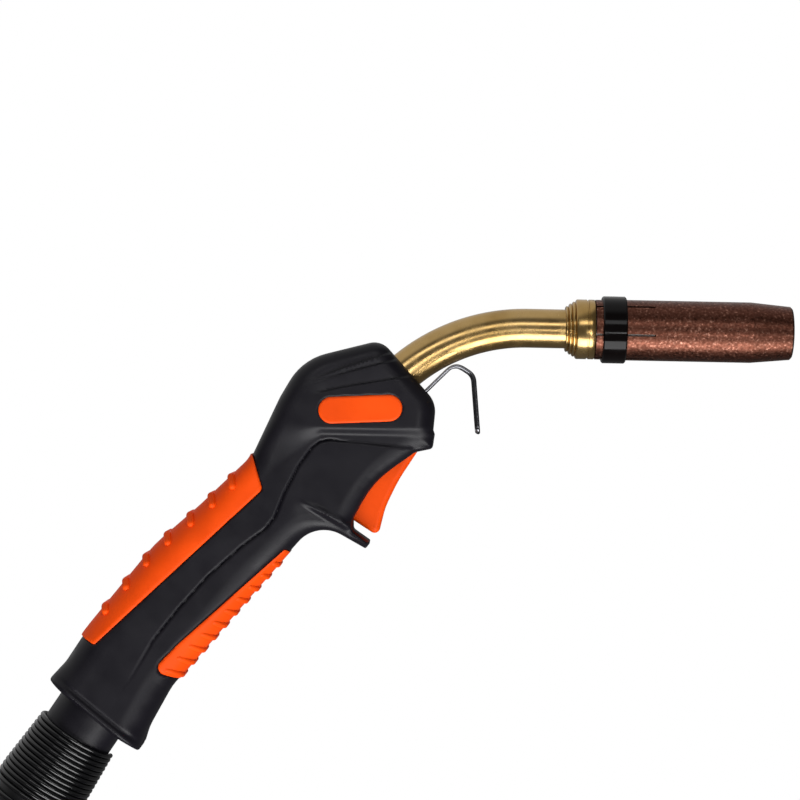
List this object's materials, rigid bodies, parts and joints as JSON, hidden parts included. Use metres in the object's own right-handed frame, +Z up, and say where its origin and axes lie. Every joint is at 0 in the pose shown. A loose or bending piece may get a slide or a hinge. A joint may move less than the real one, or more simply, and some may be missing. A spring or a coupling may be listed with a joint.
{
  "type": "mig welding torch",
  "caption": "Air-cooled MIG welding torch with bent brass neck, copper nozzle, trigger handle, swivelling spring cable guard, coiled cable and central plug.",
  "frame": {"origin": "on the table under the middle of the torch, measured without the free cable and its plug", "axes": "+X along the nozzle axis to its mouth, +Y to the torch's upper side, +Z up from the table it lies on, across the handle"},
  "size_m": [0.4262, 0.6098, 0.0485],
  "materials": {
    "black_plastic": "moulded black plastic, fine grain",
    "orange_soft": "soft orange grip skin",
    "orange_plastic": "smooth orange plastic",
    "brass": "brushed brass",
    "copper": "dull copper with heat tint",
    "copper_strand": "bright copper",
    "gloss_black": "glossy black",
    "spring_black": "black coated spring wire",
    "steel_wire": "bright wire",
    "steel": "zinc plated steel",
    "rubber_black": "black rubber",
    "cable_rubber": "black cable sheath",
    "strap": "black hook and loop band",
    "white_ceramic": "white insulator",
    "red_insulation": "insulating sleeve",
    "switch_grey": "switch case"
  },
  "bodies": {
    "handle": {"handle_shell_left": "black_plastic", "handle_shell_right": "black_plastic", "top_grip_insert": "orange_soft", "lower_grip_insert": "orange_soft", "badge_left": "orange_plastic", "badge_right": "orange_plastic", "trigger_pin": "steel", "trigger_spring": "steel", "switch_body": "switch_grey", "switch_terminals": "brass", "control_wires": "cable_rubber", "handle_screws": "steel", "hanging_hook": "steel_wire", "swan_neck": "brass", "neck_insulation": "red_insulation", "neck_core_tube": "copper_strand", "wire_liner": "steel", "neck_lock_ring": "brass", "cable_connector": "brass", "crimp_ferrule": "brass", "inner_cable": "cable_rubber", "neck_collar": "brass", "nozzle_insulator": "white_ceramic", "gas_diffuser": "brass", "tip_holder": "brass", "contact_tip": "copper_strand"},
    "nozzle": {"gas_nozzle": "copper", "nozzle_clamp_ring": "gloss_black"},
    "trigger": {"trigger": "orange_plastic"},
    "plunger": {"switch_plunger": "switch_grey"},
    "cable": {"swivel_sleeve": "black_plastic", "guard_spring": "spring_black", "cable_boot": "rubber_black", "cable_strand": "copper_strand", "cable_lead": "cable_rubber", "cable_coil": "cable_rubber", "cable_tail": "cable_rubber", "coil_ties": "strap", "plug_boot": "rubber_black", "plug_housing": "black_plastic", "plug_body": "brass", "plug_pin": "brass", "plug_liner_nut": "steel", "plug_o_ring": "rubber_black", "plug_screws": "steel"},
    "plug_nut": {"plug_nut": "gloss_black"},
    "contacts": {"plug_contacts": "brass"}
  },
  "joints": [
    {"name": "trigger_hinge", "type": "hinge", "parent": "handle", "child": "trigger", "pos_m": [0.025, 0.083, 0.022], "axis": [0, 0, -1], "range_deg": [0, 6], "stiffness_Nm_per_rad": 1.2, "springref_deg": -11.46},
    {"name": "switch_push", "type": "slide", "parent": "handle", "child": "plunger", "axis": [-0.6823, 0.7311, 0], "range_m": [0, 0.0044]},
    {"name": "nozzle_slide", "type": "slide", "parent": "handle", "child": "nozzle", "axis": [1, 0, 0], "range_m": [0, 0.1]},
    {"name": "cable_swivel", "type": "hinge", "parent": "handle", "child": "cable", "pos_m": [-0.11, -0.0295, 0.022], "axis": [0, 0, 1], "range_deg": [-5, 15]},
    {"name": "plug_nut_turn", "type": "hinge", "parent": "cable", "child": "plug_nut", "pos_m": [0.15, -0.435, 0.024], "axis": [1, 0, 0], "continuous": true},
    {"name": "contact_slide", "type": "slide", "parent": "cable", "child": "contacts", "axis": [-1, 0, 0], "range_m": [0, 0.003], "stiffness_N_per_m": 400, "springref_m": -0.002}
  ],
  "couplings": [
    {"joint": "switch_push", "follows": "trigger_hinge", "m_per_rad": 0.041037}
  ]
}
